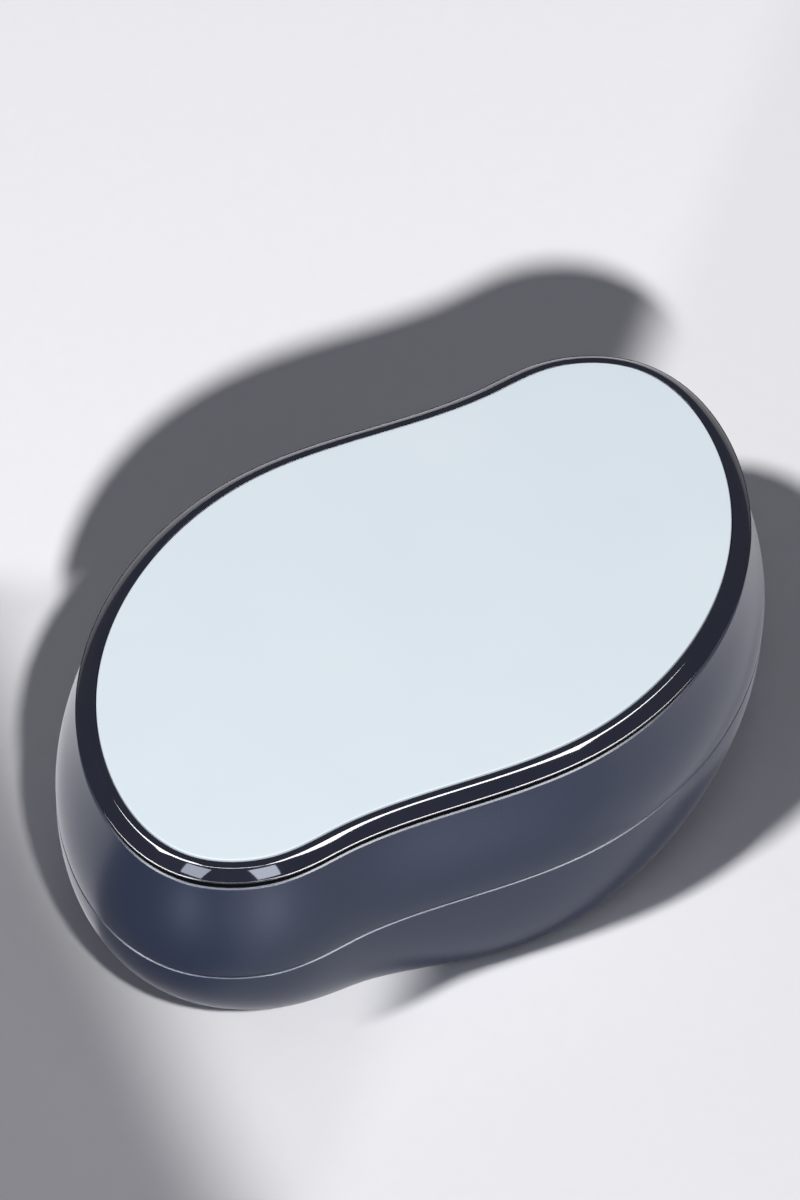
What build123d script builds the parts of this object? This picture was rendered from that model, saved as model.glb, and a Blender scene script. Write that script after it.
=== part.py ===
from build123d import *
import math
import os

# Skin scrubber held in the palm: an S-shaped pebble with an etched glass face on top.
# Millimetres. Origin on the resting base, below the middle of the glass. +Z up, out of the
# glass face. +X along the body's long side. The outline is point-symmetric about +Z.

# ---------------------------------------------------------------- driving dimensions
overall_height = 27.5
half_outline = [(-37.0, -20.5), (-29.5, -24.0), (-22.0, -23.5), (7.0, -24.0), (39.5, 4.5)]
outline_stations = 36

glass_thick = 2.5
glass_proud = 0.2
glass_bevel = 0.25
glass_gap = 0.12
adhesive_thick = 0.3
adhesive_inset = 2.0

land_width = 0.85
bezel_reach = 2.12
bezel_depth = 1.15
band_turn = 60
rebate_reach = 0.66
rebate_depth = 0.55

shadow_gap = 0.9
rim_reach = 2.1
rim_round = 0.25
seam_reach = 4.25
seam_z = 13.45
seam_gap = 0.2

mouth_reach = 1.15
deck_top = 19.5
deck_thick = 1.5
deck_inset = 8.0
gasket_thick = 0.4
carrier_reach = 1.0
carrier_floor = 1.5
carrier_wall = 0.45

boss_radius = 3.0
boss_inset = 4.6
boss_stations = (0.06, 0.30, 0.56, 0.80)
pilot_radius = 1.25
screw_radius = 1.2
screw_hole_radius = 1.4
screw_head_radius = 2.3
screw_head_thick = 1.5
screw_reach = 5.4
recess_width = 0.7
recess_length = 2.6
recess_depth = 0.9

base_radius = 26.5
base_power = 2.4
foot_count = 4
foot_ring = 19.0
foot_radius = 2.4
foot_height = 0.35
wall_thick = 2.4
upper_wall = 2.1
tongue_outer = 2.0
tongue_inner = 0.75
tongue_rise = 2.5
tongue_root = 2.0
seal_inner = 2.65
seal_outer = 3.35
seal_depth = 0.6
catch_count = 6
catch_width = 6.0
catch_height = 1.0
catch_rise = 1.2
catch_proud = 0.55
catch_play = 0.2
rib_thick = 1.4
rib_pitch = 14.0
rib_span = 20.0
rib_top = 6.0

# ---------------------------------------------------------------- derived levels
glass_top = overall_height
land_z = glass_top - glass_proud
bezel_bottom = land_z - bezel_depth
rim_z = bezel_bottom - shadow_gap
glass_bottom = glass_top - glass_thick
floor_top = glass_bottom - adhesive_thick
floor_bottom = floor_top - carrier_floor
deck_bottom = deck_top - deck_thick
skirt_bottom = deck_top + gasket_thick
upper_bottom = seam_z + seam_gap / 2
lower_top = seam_z - seam_gap / 2
floor_z = foot_height + wall_thick

# ---------------------------------------------------------------- the shared outline
# The curve runs twice around, and its middle turn is the outline, clear of the curve's loose ends.
full_outline = half_outline + [(-x, -y) for x, y in half_outline]
with BuildLine(mode=Mode.PRIVATE) as glass_line:
    Spline(*full_outline, *full_outline, full_outline[0])
glass_edge = glass_line.edges()[0]


def outline_point(t):
    """The glass outline at position t, from 0 to 1."""
    return glass_edge @ (0.25 + t / 2)


def outline_normal(t):
    """The outward direction at position t."""
    along = glass_edge % (0.25 + t / 2)
    return Vector(along.Y, -along.X, 0)


def station(t, outset):
    """A point moved outward from the glass outline at position t."""
    return outline_point(t) + outset * outline_normal(t)


def ring_points(outset, base, share):
    """Points around the body, which slide toward a circle of radius base by 1 - share."""
    points = [station(i / outline_stations, outset) for i in range(outline_stations)]
    return [p * (share + (1 - share) * base / p.length) for p in points]


def oval(outset, base=base_radius, share=1.0):
    """A closed face whose edge runs parallel to the glass outline while share is 1."""
    with BuildSketch(mode=Mode.PRIVATE) as face:
        with BuildLine():
            Spline(*ring_points(outset, base, share), periodic=True)
        make_face()
    return face.sketch


def catch_frames(outset):
    """Planes around the tongue, each with x outward and y up."""
    frames = []
    for i in range(catch_count):
        t = (i + 0.5) / catch_count
        frames.append(Plane(station(t, outset), x_dir=outline_normal(t), z_dir=(0, 0, 1)))
    return frames


boss_spots = [station(t, -boss_inset) for t in boss_stations]

os.makedirs("parts", exist_ok=True)

# ---------------------------------------------------------------- etched glass face
with BuildPart() as glass_plate:
    with BuildSketch(Plane.XY.offset(glass_bottom)):
        add(oval(0))
    extrude(amount=glass_thick)
    chamfer(glass_plate.faces().sort_by(Axis.Z)[-1].edges(), length=glass_bevel)
glass_plate.part.label = "glass_plate"

# ---------------------------------------------------------------- bonding film under the glass
with BuildPart() as plate_adhesive:
    with BuildSketch(Plane.XY.offset(floor_top)):
        add(oval(-adhesive_inset))
    extrude(amount=adhesive_thick)
plate_adhesive.part.label = "plate_adhesive"

# ---------------------------------------------------------------- gloss bezel ring
# A flat land beside the glass, a crisp edge, then a convex band down to the shadow gap. The band
# is an elliptic arc, upright at the gap and cut off where it meets the land.
band_width = (bezel_reach - land_width) / (1 - math.cos(math.radians(band_turn)))
band_height = bezel_depth / math.sin(math.radians(band_turn))
with BuildPart() as bezel_ring:
    for turn in (0, band_turn / 3, 2 * band_turn / 3, band_turn):
        reach = bezel_reach - band_width * (1 - math.cos(math.radians(turn)))
        level = bezel_bottom + band_height * math.sin(math.radians(turn))
        with BuildSketch(Plane.XY.offset(level)):
            add(oval(reach))
    loft()
    with BuildSketch(Plane.XY.offset(bezel_bottom)):
        add(oval(glass_gap))
    extrude(amount=bezel_depth, mode=Mode.SUBTRACT)
    with BuildSketch(Plane.XY.offset(bezel_bottom)):
        add(oval(rebate_reach))
    extrude(amount=rebate_depth, mode=Mode.SUBTRACT)
bezel_ring.part.label = "bezel_ring"

# ---------------------------------------------------------------- carrier tray
# Holds the glass and the bezel. Its outer wall is the dark back of the shadow gap.
with BuildPart() as plate_carrier:
    with BuildSketch(Plane.XY.offset(skirt_bottom)):
        add(oval(carrier_reach))
    extrude(amount=bezel_bottom - skirt_bottom)
    with BuildSketch(Plane.XY.offset(bezel_bottom)):
        add(oval(glass_gap + carrier_wall))
    extrude(amount=rebate_depth - 0.05)
    with BuildSketch(Plane.XY.offset(floor_top)):
        add(oval(glass_gap))
    extrude(amount=glass_thick, mode=Mode.SUBTRACT)
    with BuildSketch(Plane.XY.offset(skirt_bottom)):
        add(oval(carrier_reach - 1.4))
    extrude(amount=floor_bottom - skirt_bottom, mode=Mode.SUBTRACT)
    with BuildSketch(Plane.XY.offset(skirt_bottom + 1.0)):
        with GridLocations(rib_pitch, 0, 5, 1):
            Rectangle(rib_thick, 60)
        Rectangle(90, rib_thick)
        add(oval(carrier_reach - 1.0), mode=Mode.INTERSECT)
    extrude(amount=floor_bottom - skirt_bottom - 1.0)
    with BuildSketch(Plane.XY.offset(deck_top)):
        with Locations(*boss_spots):
            Circle(boss_radius)
    extrude(amount=floor_bottom - deck_top)
    with BuildSketch(Plane.XY.offset(deck_top)):
        with Locations(*boss_spots):
            Circle(pilot_radius)
    extrude(amount=floor_bottom + 0.6 - deck_top, mode=Mode.SUBTRACT)
plate_carrier.part.label = "plate_carrier"

# ---------------------------------------------------------------- gasket under the carrier
with BuildPart() as carrier_gasket:
    with BuildSketch(Plane.XY.offset(deck_top)):
        add(oval(carrier_reach))
        add(oval(carrier_reach - 1.3), mode=Mode.SUBTRACT)
    extrude(amount=gasket_thick)
carrier_gasket.part.label = "carrier_gasket"

# ---------------------------------------------------------------- upper shell
with BuildPart() as upper_shell:
    for level, reach in (
        (upper_bottom, seam_reach),
        (overall_height - 10.0, 4.04),
        (overall_height - 6.0, 3.1),
        (rim_z, rim_reach),
    ):
        with BuildSketch(Plane.XY.offset(level)):
            add(oval(reach))
    loft()
    fillet(upper_shell.faces().sort_by(Axis.Z)[-1].edges(), radius=rim_round)
    with BuildSketch(Plane.XY.offset(deck_top)):
        add(oval(mouth_reach))
    extrude(amount=rim_z - deck_top, mode=Mode.SUBTRACT)
    with BuildSketch(Plane.XY.offset(upper_bottom)):
        add(oval(seam_reach - upper_wall))
    extrude(amount=deck_bottom - upper_bottom, mode=Mode.SUBTRACT)
    with BuildSketch(Plane.XY.offset(deck_bottom)):
        add(oval(-deck_inset))
        with Locations(*boss_spots):
            Circle(screw_hole_radius)
    extrude(amount=deck_thick, mode=Mode.SUBTRACT)
    for frame in catch_frames(tongue_outer):
        with BuildSketch(frame.offset(lower_top + catch_rise - catch_play)):
            with Locations((catch_proud / 2, 0)):
                Rectangle(catch_proud + 2 * catch_play, catch_width + 2 * catch_play)
        extrude(amount=catch_height + 2 * catch_play, mode=Mode.SUBTRACT)
upper_shell.part.label = "upper_shell"

# ---------------------------------------------------------------- carrier screws
with BuildPart() as carrier_screws:
    with BuildSketch(Plane.XY.offset(deck_bottom - screw_head_thick)):
        with Locations(*boss_spots):
            Circle(screw_head_radius)
    extrude(amount=screw_head_thick)
    with BuildSketch(Plane.XY.offset(deck_bottom)):
        with Locations(*boss_spots):
            Circle(screw_radius)
    extrude(amount=screw_reach)
    fillet(carrier_screws.faces().group_by(Axis.Z)[0].edges(), radius=0.5)
    with BuildSketch(Plane.XY.offset(deck_bottom - screw_head_thick)):
        with Locations(*boss_spots):
            Rectangle(recess_width, recess_length)
            Rectangle(recess_length, recess_width)
    extrude(amount=recess_depth, mode=Mode.SUBTRACT)
carrier_screws.part.label = "carrier_screws"

# ---------------------------------------------------------------- seal between the shells
with BuildPart() as seam_seal:
    with BuildSketch(Plane.XY.offset(lower_top - seal_depth)):
        add(oval(seal_outer))
        add(oval(seal_inner), mode=Mode.SUBTRACT)
    extrude(amount=seal_depth + seam_gap)
seam_seal.part.label = "seam_seal"

# ---------------------------------------------------------------- lower shell
# The wall curves from the S-shaped seam down to a round flat base on four low moulded feet.
wall_depths = (0, 0.25, 0.5, 0.7, 0.85, 0.95, 1)


def base_share(depth):
    """How much of the seam outline is left at a depth below the seam, as a share of 1."""
    return (1 - depth**base_power) ** (1 / base_power)


with BuildPart() as lower_shell:
    for depth in wall_depths:
        with BuildSketch(Plane.XY.offset(lower_top - (lower_top - foot_height) * depth)):
            add(oval(seam_reach, base_radius, base_share(depth)))
    loft()
    for depth in wall_depths:
        with BuildSketch(Plane.XY.offset(lower_top - (lower_top - floor_z) * depth)):
            add(oval(seam_reach - wall_thick, base_radius - wall_thick, base_share(depth)))
    loft(mode=Mode.SUBTRACT)
    with BuildSketch():
        with PolarLocations(foot_ring, foot_count, start_angle=45):
            Circle(foot_radius)
    extrude(amount=floor_z - wall_thick / 2)
    with BuildSketch(Plane.XY.offset(lower_top - tongue_root)):
        add(oval(tongue_outer))
        add(oval(tongue_inner), mode=Mode.SUBTRACT)
    extrude(amount=tongue_root + tongue_rise)
    for frame in catch_frames(tongue_outer):
        with BuildSketch(frame.offset(lower_top + catch_rise)):
            Rectangle(2 * catch_proud, catch_width)
        extrude(amount=catch_height)
    with BuildSketch(Plane.XY.offset(lower_top - seal_depth)):
        add(oval(seal_outer))
        add(oval(seal_inner), mode=Mode.SUBTRACT)
    extrude(amount=seal_depth, mode=Mode.SUBTRACT)
    with BuildSketch(Plane.XY.offset(floor_z - wall_thick / 2)):
        with GridLocations(rib_pitch, 0, 3, 1):
            Rectangle(rib_thick, 2 * rib_span)
        Rectangle(2 * rib_span, rib_thick)
        Circle(rib_span, mode=Mode.INTERSECT)
    extrude(amount=rib_top - floor_z + wall_thick / 2)
lower_shell.part.label = "lower_shell"

export_step(glass_plate.part, "parts/glass_plate.step")
export_step(plate_adhesive.part, "parts/plate_adhesive.step")
export_step(bezel_ring.part, "parts/bezel_ring.step")
export_step(plate_carrier.part, "parts/plate_carrier.step")
export_step(carrier_gasket.part, "parts/carrier_gasket.step")
export_step(upper_shell.part, "parts/upper_shell.step")
export_step(carrier_screws.part, "parts/carrier_screws.step")
export_step(seam_seal.part, "parts/seam_seal.step")
export_step(lower_shell.part, "parts/lower_shell.step")
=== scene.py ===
import math

import bpy
import numpy as np
from mathutils import Matrix, Vector


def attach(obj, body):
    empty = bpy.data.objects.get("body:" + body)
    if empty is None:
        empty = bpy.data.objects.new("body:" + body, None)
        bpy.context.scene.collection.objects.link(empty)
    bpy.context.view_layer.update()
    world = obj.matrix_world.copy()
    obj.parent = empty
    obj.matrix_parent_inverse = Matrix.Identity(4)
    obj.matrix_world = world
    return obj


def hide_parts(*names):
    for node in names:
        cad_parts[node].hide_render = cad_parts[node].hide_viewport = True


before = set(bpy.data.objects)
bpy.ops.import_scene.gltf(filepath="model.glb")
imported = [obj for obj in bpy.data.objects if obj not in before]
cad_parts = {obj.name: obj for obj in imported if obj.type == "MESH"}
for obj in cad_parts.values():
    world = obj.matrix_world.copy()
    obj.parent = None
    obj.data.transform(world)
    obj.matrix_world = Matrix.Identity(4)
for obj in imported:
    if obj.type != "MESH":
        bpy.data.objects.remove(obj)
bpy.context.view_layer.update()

MM = 0.001
TAU = 2 * math.pi

# ---------------------------------------------------------------- sizes, in millimetres
HALF_OUTLINE = [(-37.0, -20.5), (-29.5, -24.0), (-22.0, -23.5), (7.0, -24.0), (39.5, 4.5)]
STATIONS = 360

GLASS_TOP = 27.5
GLASS_BOTTOM = 25.0
GLASS_BEVEL = 0.09
LAND_Z = 27.3
BEZEL_BOTTOM = 26.15
GLASS_GAP = 0.12
LAND = 0.85
BEZEL_REACH = 2.12
BAND_TOP = 36.0
BAND_FOOT = 50.0
LIP = 0.05
LIP_HEIGHT = 0.14
EDGE_ROUND = 0.45
REBATE_REACH = 0.66
REBATE_Z = 26.7
RIM_Z = 25.25
RIM_REACH = 2.1
MOUTH = 1.15
DECK_TOP = 19.5
DECK_BOTTOM = 18.0
DECK_INSET = -8.0
SEAM_REACH = 4.25
UPPER_BOTTOM = 13.55
LOWER_TOP = 13.35
CHAMFER = 0.22
CHAMFER_TILT = 30.0
UPPER_INNER = 2.15
WALL = 2.4
TONGUE_OUTER = 2.0
TONGUE_INNER = 0.75
TONGUE_TOP = 15.85
BASE_RADIUS = 26.5
BASE_POWER = 2.4
FEET = 4
FOOT_RING = 19.0
FOOT_RADIUS = 2.4
FOOT_HEIGHT = 0.35

# ---------------------------------------------------------------- camera
AZIMUTH = -30.0
ELEVATION = 48.0
ROLL = 2.42
DISTANCE = 0.9016
PIXELS_PER_MM = 9.4
AIM_RIGHT = 1.854
AIM_UP = -0.457


def make_camera():
    a, e, r = (math.radians(v) for v in (AZIMUTH, ELEVATION, ROLL))
    back = Vector((math.sin(a) * math.cos(e), -math.cos(a) * math.cos(e), math.sin(e)))
    level = Vector((math.cos(a), math.sin(a), 0))
    rise = back.cross(level)
    right = math.cos(r) * level + math.sin(r) * rise
    up = -math.sin(r) * level + math.cos(r) * rise
    aim = Vector((0, 0, GLASS_TOP * MM)) - (AIM_RIGHT * right + AIM_UP * up) * MM
    data = bpy.data.cameras.new("camera")
    data.sensor_width = 36.0
    data.lens = 36.0 * PIXELS_PER_MM * DISTANCE / MM / 1200.0
    data.clip_start = 0.01
    data.clip_end = 20.0
    cam = bpy.data.objects.new("camera", data)
    rot = Matrix((right, up, back)).transposed().to_4x4()
    cam.matrix_world = Matrix.Translation(aim + back * DISTANCE) @ rot
    bpy.context.scene.collection.objects.link(cam)
    bpy.context.scene.camera = cam


make_camera()


# ---------------------------------------------------------------- outline
def periodic_spline(points):
    """Knots and second derivatives of the smooth closed cubic through the points."""
    p = np.array(points, float)
    n = len(p)
    h = np.linalg.norm(np.roll(p, -1, 0) - p, axis=1)
    a = np.zeros((n, n))
    b = np.zeros((n, 2))
    for i in range(n):
        j, k = (i - 1) % n, (i + 1) % n
        a[i, j] += h[j]
        a[i, i] += 2 * (h[j] + h[i])
        a[i, k] += h[i]
        b[i] = 6 * ((p[k] - p[i]) / h[i] - (p[i] - p[j]) / h[j])
    return p, h, np.linalg.solve(a, b)


def spline_points(points, count):
    """Points and outward normals, evenly spaced along the closed cubic."""
    p, h, m = periodic_spline(points)
    n = len(p)
    pos, der = [], []
    for i in range(n):
        k = (i + 1) % n
        t = np.linspace(0, h[i], 400, endpoint=False)[:, None]
        s = h[i] - t
        pos.append(
            m[i] * s**3 / (6 * h[i]) + m[k] * t**3 / (6 * h[i])
            + (p[i] / h[i] - m[i] * h[i] / 6) * s + (p[k] / h[i] - m[k] * h[i] / 6) * t
        )
        der.append(
            -m[i] * s**2 / (2 * h[i]) + m[k] * t**2 / (2 * h[i])
            - (p[i] / h[i] - m[i] * h[i] / 6) + (p[k] / h[i] - m[k] * h[i] / 6)
        )
    pos, der = np.vstack(pos), np.vstack(der)
    step = np.linalg.norm(np.roll(pos, -1, 0) - pos, axis=1)
    run = np.concatenate([[0], np.cumsum(step)])
    want = np.linspace(0, run[-1], count, endpoint=False)
    ring = np.arange(len(run))
    at = np.interp(want, run, ring)
    closed_pos, closed_der = np.vstack([pos, pos[:1]]), np.vstack([der, der[:1]])
    out = np.stack([np.interp(at, ring, closed_pos[:, c]) for c in (0, 1)], 1)
    tan = np.stack([np.interp(at, ring, closed_der[:, c]) for c in (0, 1)], 1)
    tan /= np.linalg.norm(tan, axis=1)[:, None]
    return out, np.stack([tan[:, 1], -tan[:, 0]], 1)


EDGE, NORMAL = spline_points(HALF_OUTLINE + [(-x, -y) for x, y in HALF_OUTLINE], STATIONS)


def loop(outset, z, share=None, base=BASE_RADIUS):
    """One ring of points, moved outward by outset, and drawn toward the base circle by 1 - share."""
    p = EDGE + outset * NORMAL
    if share is not None:
        r = np.linalg.norm(p, axis=1)[:, None]
        p = p * (share + (1 - share) * base / r)
    return np.column_stack([p, np.full(len(p), z)]) * MM


def bend(a, corner, b, radius, steps=6):
    """A small round between the straight runs a-corner and corner-b of a profile."""
    a, c, b = (np.array(v, float) for v in (a, corner, b))
    u, v = a - c, b - c
    u, v = u / np.linalg.norm(u), v / np.linalg.norm(v)
    half = math.acos(max(-1, min(1, float(u @ v)))) / 2
    back = radius / math.tan(half)
    mid = (u + v) / np.linalg.norm(u + v)
    centre = c + mid * radius / math.sin(half)
    s, e = c + u * back - centre, c + v * back - centre
    turn = math.pi - 2 * half
    return [
        tuple(centre + (math.sin(turn * (1 - t)) * s + math.sin(turn * t) * e) / math.sin(turn))
        for t in np.linspace(0, 1, steps + 1)
    ]


def profile(points):
    """A closed or open run of (outset, z) or (outset, z, radius) corners, with the rounds put in."""
    out = []
    n = len(points)
    for i, p in enumerate(points):
        if len(p) == 3:
            out += bend(points[i - 1][:2], p[:2], points[(i + 1) % n][:2], p[2])
        else:
            out.append(tuple(p))
    return out


def skin(name, rings, closed=False, cap_first=False, cap_last=False, smooth_angle=40, inner_from=None):
    """A mesh through rings of equal length. Flat caps are filled with rings that shrink to the middle.
    Faces from ring inner_from on take the second material."""
    rings = [np.asarray(r) for r in rings]
    n = len(rings[0])
    caps = [0.93, 0.8, 0.6, 0.4, 0.2, 0.07]

    def cap(ring):
        mid = np.array([0, 0, ring[0, 2]])
        return [mid + (ring - mid) * s for s in caps]

    ahead = cap(rings[0])[::-1] if cap_first else []
    behind = cap(rings[-1]) if cap_last else []
    stack = ahead + rings + behind
    verts = np.vstack(stack)
    faces = []
    count = len(stack)
    for i in range(count if closed else count - 1):
        a, b = i * n, ((i + 1) % count) * n
        for j in range(n):
            k = (j + 1) % n
            faces.append((a + j, a + k, b + k, b + j))
    extra = []
    if cap_first:
        mid = len(verts) + len(extra)
        extra.append((0, 0, stack[0][0, 2]))
        faces += [(mid, (j + 1) % n, j) for j in range(n)]
    if cap_last:
        mid = len(verts) + len(extra)
        extra.append((0, 0, stack[-1][0, 2]))
        base = (count - 1) * n
        faces += [(mid, base + j, base + (j + 1) % n) for j in range(n)]
    if extra:
        verts = np.vstack([verts, extra])
    mesh = bpy.data.meshes.new(name)
    mesh.from_pydata(verts.tolist(), [], faces)
    mesh.update()
    if inner_from is not None:
        first = (inner_from + len(ahead)) * n
        last = (count if closed else count - 1) * n
        index = np.zeros(len(faces), int)
        index[first:last] = 1
        if cap_last:
            index[-n:] = 1
        mesh.polygons.foreach_set("material_index", index.tolist())
    mesh.shade_smooth()
    mesh.set_sharp_from_angle(angle=math.radians(smooth_angle))
    obj = bpy.data.objects.new(name, mesh)
    bpy.context.scene.collection.objects.link(obj)
    return obj


# ---------------------------------------------------------------- materials
SHELL_DARK = (0.0150, 0.0225, 0.050)
SHELL_LIGHT = (0.0175, 0.0262, 0.058)


def new_material(name):
    mat = bpy.data.materials.new(name)
    mat.use_nodes = True
    nodes, links = mat.node_tree.nodes, mat.node_tree.links
    nodes.clear()
    out = nodes.new("ShaderNodeOutputMaterial")
    bsdf = nodes.new("ShaderNodeBsdfPrincipled")
    links.new(bsdf.outputs["BSDF"], out.inputs["Surface"])
    coord = nodes.new("ShaderNodeTexCoord")
    return mat, nodes, links, bsdf, coord.outputs["Object"]


def noise(nodes, links, where, scale, detail=2.0, rough=0.5):
    """Noise on real-size coordinates: scale is in features per metre."""
    n = nodes.new("ShaderNodeTexNoise")
    n.inputs["Scale"].default_value = scale
    n.inputs["Detail"].default_value = detail
    n.inputs["Roughness"].default_value = rough
    links.new(where, n.inputs["Vector"])
    return n.outputs["Fac"]


def spread(nodes, links, value, low, high, from_low=0.35, from_high=0.65):
    m = nodes.new("ShaderNodeMapRange")
    m.inputs["From Min"].default_value = from_low
    m.inputs["From Max"].default_value = from_high
    m.inputs["To Min"].default_value = low
    m.inputs["To Max"].default_value = high
    links.new(value, m.inputs["Value"])
    return m.outputs["Result"]


def tint(nodes, links, value, dark, light):
    """A colour that runs from dark to light as value runs from 0.3 to 0.7."""
    r = nodes.new("ShaderNodeValToRGB")
    r.color_ramp.elements[0].position = 0.3
    r.color_ramp.elements[0].color = (*dark, 1)
    r.color_ramp.elements[1].position = 0.7
    r.color_ramp.elements[1].color = (*light, 1)
    links.new(value, r.inputs["Fac"])
    return r.outputs["Color"]


def bump(nodes, links, bsdf, height, distance, strength=1.0, coat=False):
    b = nodes.new("ShaderNodeBump")
    b.inputs["Strength"].default_value = strength
    b.inputs["Distance"].default_value = distance
    links.new(height, b.inputs["Height"])
    links.new(b.outputs["Normal"], bsdf.inputs["Normal"])
    if coat:
        links.new(b.outputs["Normal"], bsdf.inputs["Coat Normal"])


def etched_glass():
    mat, nodes, links, bsdf, where = new_material("etched_glass")
    grain = noise(nodes, links, where, 9000, 3, 0.6)
    cloud = noise(nodes, links, where, 60, 2, 0.5)
    colour = tint(nodes, links, cloud, (0.680, 0.752, 0.800), (0.700, 0.768, 0.812))
    links.new(colour, bsdf.inputs["Base Color"])
    links.new(spread(nodes, links, cloud, 0.34, 0.42), bsdf.inputs["Roughness"])
    bsdf.inputs["IOR"].default_value = 1.5
    bump(nodes, links, bsdf, grain, 0.000012, 0.35)
    return mat


def bezel_gloss():
    mat, nodes, links, bsdf, where = new_material("bezel_gloss")
    peel = noise(nodes, links, where, 450, 1, 0.4)
    haze = noise(nodes, links, where, 120, 3, 0.6)
    colour = tint(nodes, links, haze, (0.012, 0.014, 0.024), (0.014, 0.016, 0.028))
    links.new(colour, bsdf.inputs["Base Color"])
    links.new(spread(nodes, links, haze, 0.035, 0.06), bsdf.inputs["Roughness"])
    bsdf.inputs["IOR"].default_value = 1.52
    bump(nodes, links, bsdf, peel, 0.000002, 0.2)
    return mat


def shell_plastic():
    mat, nodes, links, bsdf, where = new_material("shell_plastic")
    flake = noise(nodes, links, where, 6000, 2, 0.6)
    haze = noise(nodes, links, where, 90, 3, 0.6)
    peel = noise(nodes, links, where, 700, 1, 0.4)
    links.new(tint(nodes, links, flake, SHELL_DARK, SHELL_LIGHT), bsdf.inputs["Base Color"])
    links.new(spread(nodes, links, haze, 0.26, 0.31, 0.1, 0.9), bsdf.inputs["Roughness"])
    bsdf.inputs["IOR"].default_value = 1.42
    bsdf.inputs["Sheen Weight"].default_value = 0.07
    bsdf.inputs["Sheen Roughness"].default_value = 0.35
    bsdf.inputs["Sheen Tint"].default_value = (0.95, 0.94, 1.0, 1.0)
    bump(nodes, links, bsdf, peel, 0.000003, 0.25)
    return mat


def moulded(name, dark, light, rough, grain_scale, depth):
    mat, nodes, links, bsdf, where = new_material(name)
    grain = noise(nodes, links, where, grain_scale, 3, 0.6)
    links.new(tint(nodes, links, grain, dark, light), bsdf.inputs["Base Color"])
    links.new(spread(nodes, links, grain, rough - 0.05, rough + 0.05), bsdf.inputs["Roughness"])
    bump(nodes, links, bsdf, grain, depth, 0.5)
    return mat, bsdf


glass_mat = etched_glass()
bezel_mat = bezel_gloss()
shell_mat = shell_plastic()
carrier_mat, _ = moulded("carrier_plastic", (0.006, 0.006, 0.007), (0.011, 0.011, 0.013), 0.5, 5000, 0.00002)
# Painted shade: this near-black goes on the shells' rim tops, mouths, seam faces and insides, to stand for the shade
# in the gaps between the parts.
gap_shade_mat, _ = moulded("painted_gap_shade", (0.004, 0.004, 0.006), (0.008, 0.008, 0.010), 0.4, 5000, 0.00001)
seal_mat, _ = moulded("seal_rubber", (0.008, 0.008, 0.009), (0.014, 0.014, 0.015), 0.7, 3500, 0.00002)
film_mat, _ = moulded("bond_film", (0.72, 0.73, 0.75), (0.80, 0.81, 0.83), 0.6, 2500, 0.00003)
steel_mat, steel_bsdf = moulded("screw_steel", (0.50, 0.50, 0.52), (0.62, 0.62, 0.64), 0.32, 6000, 0.00001)
steel_bsdf.inputs["Metallic"].default_value = 1.0

# ---------------------------------------------------------------- pieces
def dress(obj, mats, slot, *nodes):
    for mat in mats:
        obj.data.materials.append(mat)
    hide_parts(*nodes)
    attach(obj, "root")
    return obj


def chamfer(reach, level):
    """The small flat that breaks an outside edge: from below the edge up to the level above it."""
    t = math.radians(CHAMFER_TILT)
    across, up = CHAMFER * math.cos(t), CHAMFER * math.sin(t)
    return [(reach, level - up - 0.02), (reach - 0.01, level - up), (reach - 0.01 - across, level)]


def rings_of(points):
    return [loop(outset, z) for outset, z in points]


def glass_plate():
    b = GLASS_BEVEL
    pts = profile([
        (-0.6, GLASS_BOTTOM), (0, GLASS_BOTTOM, 0.12), (0, GLASS_TOP - b, 0.06),
        (-b, GLASS_TOP, 0.06), (-0.6, GLASS_TOP),
    ])
    return skin("etched_glass_plate", rings_of(pts), cap_first=True, cap_last=True, smooth_angle=60)


def band():
    """The convex side of the bezel, from the shadow gap up to the land, leaning back all the way."""
    lean = np.radians(np.linspace(BAND_FOOT, BAND_TOP, 25))
    # Each short step runs square to its outward lean, then the run is fitted between its two ends.
    step = np.cumsum(np.column_stack([-np.cos(lean), np.sin(lean)]), axis=0)
    step = (step - step[0]) / (step[-1] - step[0])
    low = BEZEL_BOTTOM + LIP_HEIGHT
    return [
        (BEZEL_REACH + (LAND - BEZEL_REACH) * u, low + (LAND_Z - BEZEL_BOTTOM - LIP_HEIGHT) * v)
        for u, v in step
    ]


def bezel():
    arc = band()
    lip = [
        (BEZEL_REACH + LIP * (1 + math.sin(t)), BEZEL_BOTTOM + LIP_HEIGHT / 2 + LIP_HEIGHT / 2 * -math.cos(t))
        for t in np.linspace(0, math.pi, 9)
    ]
    high = bend(arc[-4], arc[-1], (LAND - 0.4, LAND_Z), EDGE_ROUND)
    pts = lip + arc[:-4] + high + profile([
        (LAND - 0.4, LAND_Z), (GLASS_GAP, LAND_Z, 0.05), (GLASS_GAP, REBATE_Z),
        (REBATE_REACH, REBATE_Z), (REBATE_REACH, BEZEL_BOTTOM),
    ])
    return skin("gloss_bezel", rings_of(pts), closed=True, smooth_angle=50)


def shell_side(z):
    """Outset of the upper shell's outside at a height: the cubic through four stations."""
    zs, ds = [UPPER_BOTTOM, 17.5, 21.5, RIM_Z], [SEAM_REACH, 4.04, 3.1, RIM_REACH]
    return float(np.polyval(np.polyfit(zs, ds, 3), z))


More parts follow.
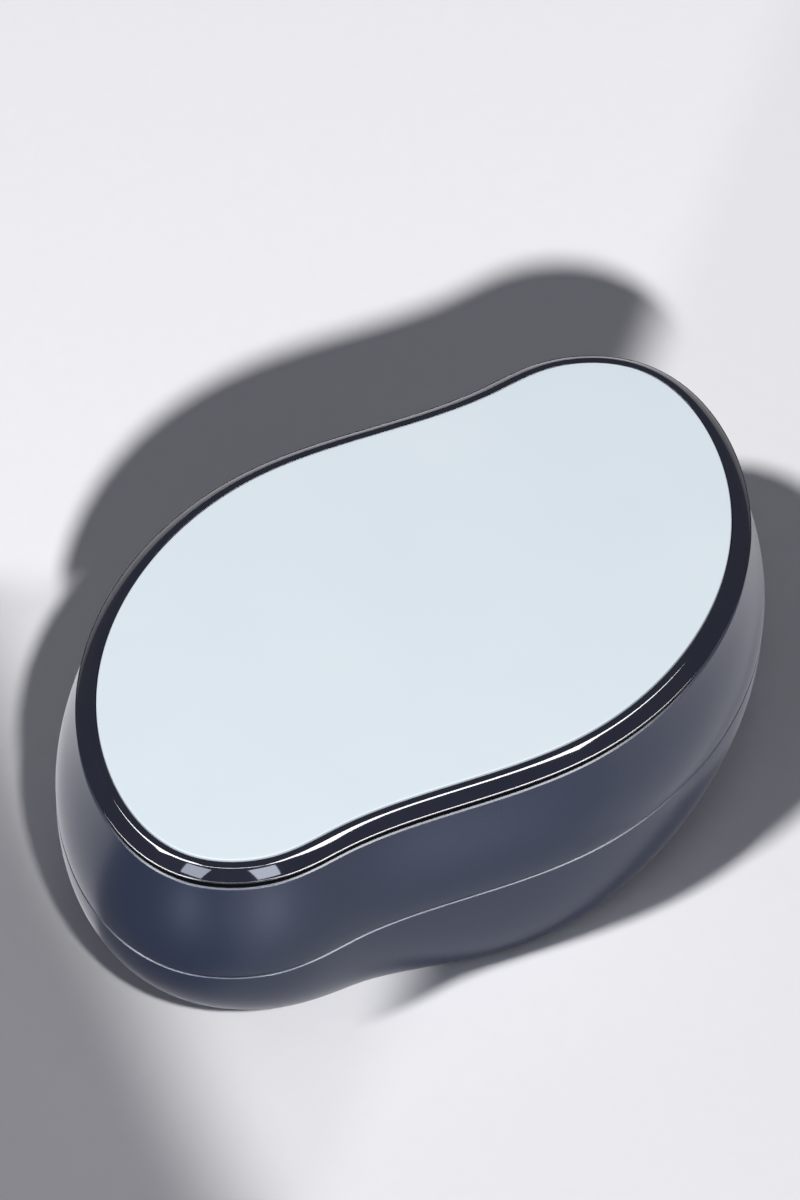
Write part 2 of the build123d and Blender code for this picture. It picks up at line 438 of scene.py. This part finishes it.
def upper_shell():
    foot = bend((SEAM_REACH - 1, UPPER_BOTTOM), (SEAM_REACH, UPPER_BOTTOM), (shell_side(14.5), 14.5), 0.14)
    side = [(shell_side(z), z) for z in np.linspace(UPPER_BOTTOM + 0.35, RIM_Z - 0.3, 40)]
    rim = chamfer(shell_side(RIM_Z - 0.14), RIM_Z)
    pts = foot + side + rim + profile([
        (RIM_REACH - 0.4, RIM_Z), (MOUTH, RIM_Z, 0.08), (MOUTH, DECK_TOP), (DECK_INSET, DECK_TOP),
        (DECK_INSET, DECK_BOTTOM), (UPPER_INNER, DECK_BOTTOM), (UPPER_INNER, UPPER_BOTTOM),
        (SEAM_REACH - 0.4, UPPER_BOTTOM),
    ])
    outside = len(foot + side + rim)
    # The faces from the rim's top flat inward take the second material, the painted gap shade.
    return skin("upper_shell_skin", rings_of(pts), closed=True, smooth_angle=25, inner_from=outside - 1)


def share(depth):
    return (1 - depth**BASE_POWER) ** (1 / BASE_POWER)


def foot_pads():
    """The four moulded feet: low round pads with an eased edge, set into the base."""
    verts, faces = [], []
    side = 48
    runs = [(FOOT_RADIUS, FOOT_HEIGHT + 0.8)] + bend(
        (FOOT_RADIUS, FOOT_HEIGHT), (FOOT_RADIUS, 0), (0, 0), 0.15
    ) + [(FOOT_RADIUS / 2, 0)]
    for i in range(FEET):
        turn = TAU * (i + 0.5) / FEET
        cx, cy = FOOT_RING * math.cos(turn), FOOT_RING * math.sin(turn)
        base = len(verts)
        for r, z in runs:
            for k in range(side):
                a = TAU * k / side
                verts.append(((cx + r * math.cos(a)) * MM, (cy + r * math.sin(a)) * MM, z * MM))
        for j in range(len(runs) - 1):
            for k in range(side):
                m, p = base + j * side, base + (j + 1) * side
                faces.append((m + k, p + k, p + (k + 1) % side, m + (k + 1) % side))
        faces.append([base + k for k in range(side)])
        faces.append([base + (len(runs) - 1) * side + k for k in range(side)][::-1])
    mesh = bpy.data.meshes.new("foot_pads")
    mesh.from_pydata(verts, [], faces)
    obj = bpy.data.objects.new("foot_pads", mesh)
    bpy.context.scene.collection.objects.link(obj)
    return obj


def lower_shell():
    top, inner_base = LOWER_TOP, FOOT_HEIGHT + WALL
    rings = []
    for d in np.sin(np.linspace(math.pi / 2, 0, 70)):
        rings.append(loop(SEAM_REACH, top - (top - FOOT_HEIGHT) * d, share(min(d, 1.0))))
    rings = [r for r in rings if r[0, 2] < (top - 0.4) * MM]
    rings += rings_of(chamfer(SEAM_REACH, top))
    outside = len(rings)
    rings += rings_of([(SEAM_REACH - 0.5, top), (TONGUE_OUTER, top)])
    rings += rings_of(profile([(TONGUE_OUTER, top), (TONGUE_OUTER, TONGUE_TOP, 0.2), (TONGUE_INNER, TONGUE_TOP)])[1:])
    rings += rings_of([(TONGUE_INNER, top - 2.0)])
    for d in np.sin(np.linspace(0, math.pi / 2, 20)) ** 1.2:
        level = top - (top - inner_base) * d
        if level < top - 2.2:
            rings.append(loop(SEAM_REACH - WALL, level, share(min(d, 1.0)), BASE_RADIUS - WALL))
    # The faces from the seam's top face inward take the second material, the painted gap shade.
    obj = skin("lower_shell_skin", rings, cap_first=True, cap_last=True, smooth_angle=25, inner_from=outside - 1)
    pads = foot_pads()
    union = obj.modifiers.new("feet", "BOOLEAN")
    union.operation = "UNION"
    union.solver = "EXACT"
    union.object = pads
    bpy.context.view_layer.update()
    joined = bpy.data.meshes.new_from_object(obj.evaluated_get(bpy.context.evaluated_depsgraph_get()))
    obj.modifiers.clear()
    obj.data = joined
    bpy.data.objects.remove(pads)
    joined.shade_smooth()
    joined.set_sharp_from_angle(angle=math.radians(25))
    return obj


glass_piece = dress(glass_plate(), [glass_mat], "etched_glass", "glass_plate")
bezel_piece = dress(bezel(), [bezel_mat], "bezel_gloss", "bezel_ring")
upper_piece = dress(upper_shell(), [shell_mat, gap_shade_mat], "shell_plastic", "upper_shell")
lower_piece = dress(lower_shell(), [shell_mat, gap_shade_mat], "shell_plastic", "lower_shell")

for node, mat in (
    ("plate_adhesive", film_mat), ("plate_carrier", carrier_mat), ("carrier_gasket", seal_mat),
    ("carrier_screws", steel_mat), ("seam_seal", seal_mat),
):
    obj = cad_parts[node]
    obj.data.materials.clear()
    obj.data.materials.append(mat)

# ---------------------------------------------------------------- floor and light
# Places on the floor are in millimetres, u to the camera's right and v away from it.
RIGHT_WAY = Vector((math.cos(math.radians(AZIMUTH)), math.sin(math.radians(AZIMUTH)), 0))
AWAY = Vector((-math.sin(math.radians(AZIMUTH)), math.cos(math.radians(AZIMUTH)), 0))


def floor():
    mesh = bpy.data.meshes.new("floor")
    s = 6.0
    mesh.from_pydata([(-s, -s, 0), (s, -s, 0), (s, s, 0), (-s, s, 0)], [], [(0, 1, 2, 3)])
    obj = bpy.data.objects.new("floor", mesh)
    bpy.context.scene.collection.objects.link(obj)
    mat, nodes, links, bsdf, where = new_material("floor_paper")
    fibre = noise(nodes, links, where, 400, 3, 0.6)
    links.new(tint(nodes, links, fibre, (0.795, 0.79, 0.81), (0.805, 0.80, 0.82)), bsdf.inputs["Base Color"])
    bsdf.inputs["Roughness"].default_value = 0.45
    bsdf.inputs["Specular IOR Level"].default_value = 0.35
    mesh.materials.append(mat)
    return obj


def direction(azimuth, elevation):
    """From the object toward a lamp. Azimuth is from the camera's side, positive to its right."""
    a, e = math.radians(AZIMUTH + azimuth), math.radians(elevation)
    return Vector((math.sin(a) * math.cos(e), -math.cos(a) * math.cos(e), math.sin(e)))


def softbox(name, azimuth, elevation, distance, width, height, glow, colour, gloss=True, diffuse=True):
    """A rectangular softbox whose face has the radiance glow."""
    way = direction(azimuth, elevation)
    data = bpy.data.lights.new(name, "AREA")
    data.shape = "RECTANGLE"
    data.size, data.size_y = width, height
    data.energy = glow * math.pi * width * height
    data.color = colour
    obj = bpy.data.objects.new(name, data)
    obj.location = way * distance
    obj.rotation_mode = "QUATERNION"
    obj.rotation_quaternion = way.to_track_quat("Z", "Y")
    obj.visible_glossy = gloss
    obj.visible_diffuse = diffuse
    bpy.context.scene.collection.objects.link(obj)
    return obj


def flag(nodes, links, across, spot, way, width):
    """A soft straight edge on the floor: 0 before the place spot, 1 beyond it along way."""
    u, v = way
    unit = Vector((u, v)).normalized()
    line = RIGHT_WAY * unit.x + AWAY * unit.y
    dot = nodes.new("ShaderNodeVectorMath")
    dot.operation = "DOT_PRODUCT"
    dot.inputs[1].default_value = line
    links.new(across, dot.inputs[0])
    edge = nodes.new("ShaderNodeMapRange")
    edge.interpolation_type = "SMOOTHSTEP"
    middle = (spot[0] * unit.x + spot[1] * unit.y) * MM
    edge.inputs["From Min"].default_value = middle - width * MM / 2
    edge.inputs["From Max"].default_value = middle + width * MM / 2
    links.new(dot.outputs["Value"], edge.inputs["Value"])
    return edge.outputs["Result"]


def combine(nodes, links, kind, a, b):
    m = nodes.new("ShaderNodeMath")
    m.operation = kind
    for socket, value in zip(m.inputs, (a, b)):
        if isinstance(value, (int, float)):
            socket.default_value = value
        else:
            links.new(value, socket)
    return m.outputs["Value"]


def floor_lamp(name, azimuth, elevation, watts, radius, receivers, edges):
    """A small lamp that lights the floor alone, flagged by soft edges. Each edge is
    (spot, way, width, amount): the light falls by amount beyond the edge, along way."""
    data = bpy.data.lights.new(name, "POINT")
    data.energy = watts
    data.shadow_soft_size = radius
    data.use_soft_falloff = True
    data.use_nodes = True
    nodes, links = data.node_tree.nodes, data.node_tree.links
    nodes.clear()
    out = nodes.new("ShaderNodeOutputLight")
    emit = nodes.new("ShaderNodeEmission")
    links.new(emit.outputs["Emission"], out.inputs["Surface"])
    place = direction(azimuth, elevation) * LAMP_DISTANCE
    coord = nodes.new("ShaderNodeTexCoord")
    parts = nodes.new("ShaderNodeSeparateXYZ")
    links.new(coord.outputs["Normal"], parts.inputs["Vector"])
    start = nodes.new("ShaderNodeNewGeometry")
    begin = nodes.new("ShaderNodeSeparateXYZ")
    links.new(start.outputs["Position"], begin.inputs["Vector"])
    # Where the ray meets the floor: its starting place less that height times the ray's slope.
    meets = nodes.new("ShaderNodeCombineXYZ")
    for axis in ("X", "Y"):
        slope = combine(nodes, links, "DIVIDE", parts.outputs[axis], parts.outputs["Z"])
        drift = combine(nodes, links, "MULTIPLY", slope, begin.outputs["Z"])
        links.new(combine(nodes, links, "SUBTRACT", begin.outputs[axis], drift), meets.inputs[axis])
    power = 1.0
    for spot, way, width, amount in edges:
        edge = flag(nodes, links, meets.outputs["Vector"], spot, way, width)
        left = combine(nodes, links, "SUBTRACT", 1.0, combine(nodes, links, "MULTIPLY", edge, amount))
        power = combine(nodes, links, "MULTIPLY", power, left)
    if edges:
        links.new(power, emit.inputs["Strength"])
    obj = bpy.data.objects.new(name, data)
    obj.location = place
    obj.visible_glossy = False
    obj.light_linking.receiver_collection = receivers
    bpy.context.scene.collection.objects.link(obj)


LAMP_DISTANCE = 2.4
shell_only = bpy.data.collections.new("shell_only")
for piece in (upper_piece, lower_piece):
    shell_only.objects.link(piece)
edges_only = bpy.data.collections.new("edges_only")
for piece in (bezel_piece, upper_piece, lower_piece):
    edges_only.objects.link(piece)
paper = floor()
floor_only = bpy.data.collections.new("floor_only")
floor_only.objects.link(paper)
object_only = bpy.data.collections.new("object_only")
object_only.objects.link(paper)
object_only.collection_objects[0].light_linking.link_state = "EXCLUDE"

SPLIT = ((26.0, 68.0), (0.967, -0.255))
PARTING = ((-40.0, 25.2), (-0.12, -1.0))
CORNER = ((-22.5, -45.0), (-0.92, -0.39))
KEY_DISTANCE = 1.2
KEY_SIZE = 0.25
OVERHEAD_GLOW = 30.0
WHITE = (1, 1, 1)
WINDOW_COLOUR = (0.80, 0.85, 1.0)
STRIP_COLOUR = (0.80, 0.87, 1.0)
WORLD_COLOUR = (0.87, 0.88, 1.0, 1)
WORLD_STRENGTH = 0.168


def other_side(line):
    """The same line on the floor, with its dark on the other side."""
    spot, (right, away) = line
    return spot, (-right, -away)


floor_lamp("lamp_front", 5, 34.5, 415.0, 0.07, floor_only, [
    (*SPLIT, 9, 1.0), (*PARTING, 8, 1.0),
])
floor_lamp("lamp_left", -61, 56, 250.0, 0.12, floor_only, [
    (*other_side(SPLIT), 9, 1.0),
])
floor_lamp("lamp_right", 19, 51, 235.0, 0.07, floor_only, [
    (*SPLIT, 9, 1.0), (*other_side(PARTING), 8, 1.0), (*CORNER, 17, 0.80),
])
for name, azimuth, elevation, glow in (
    ("key_front", -3, 37.5, 38.0), ("key_left", -55, 53, 26.0), ("key_right", 30, 60, 26.0),
):
    key = softbox(name, azimuth, elevation, KEY_DISTANCE, KEY_SIZE, KEY_SIZE, glow, WHITE, gloss=False)
    key.light_linking.receiver_collection = object_only
for side, azimuth, width, glow in (("left", -31, 0.26, 9.2), ("right", 30, 0.23, 11.5)):
    box = softbox("window_" + side, azimuth, 50, 1.0, width, 0.32, glow, WINDOW_COLOUR, diffuse=False)
    box.light_linking.receiver_collection = edges_only
    box = softbox("strip_" + side, 0.9 * azimuth, 6, 1.0, 0.12, 0.2, 24 * glow, STRIP_COLOUR,
                  diffuse=False)
    box.light_linking.receiver_collection = shell_only
for side, azimuth, elevation, distance, width, height in (
    ("left", -97, 66, 1.31, 0.80, 0.66),
    ("right", 97, 65, 1.32, 0.80, 0.62),
    ("front", 0, 72, 1.262, 0.6, 0.126),
):
    box = softbox("overhead_" + side, azimuth, elevation, distance, width, height, OVERHEAD_GLOW, WHITE,
                  diffuse=False)
    box.light_linking.receiver_collection = edges_only


def bounce_card(name, right, away, width, depth, glow):
    """A pale card lying beside the body, seen only in the two shells: it stands for the lit table."""
    light = bpy.data.lights.new(name, "AREA")
    light.shape = "RECTANGLE"
    light.size, light.size_y = width, depth
    light.energy = glow * math.pi * width * depth
    light.color = (0.96, 0.96, 1.0)
    light.use_shadow = False
    obj = bpy.data.objects.new(name, light)
    bpy.context.scene.collection.objects.link(obj)
    spot = (RIGHT_WAY * right + AWAY * away) * MM
    turn = Matrix.Rotation(math.radians(AZIMUTH), 4, "Z") @ Matrix.Rotation(math.pi, 4, "X")
    obj.matrix_world = Matrix.Translation((spot.x, spot.y, 0.0004)) @ turn
    obj.visible_camera = False
    obj.visible_diffuse = False
    obj.light_linking.receiver_collection = shell_only


bounce_card("card_left", -75, 22, 0.08, 0.10, 0.9)
bounce_card("card_right", 78, 15, 0.08, 0.10, 0.36)

world = bpy.data.worlds.new("studio")
world.use_nodes = True
background = world.node_tree.nodes["Background"]
background.inputs["Color"].default_value = WORLD_COLOUR
background.inputs["Strength"].default_value = WORLD_STRENGTH
bpy.context.scene.world = world
bpy.context.scene.view_settings.view_transform = "Standard"
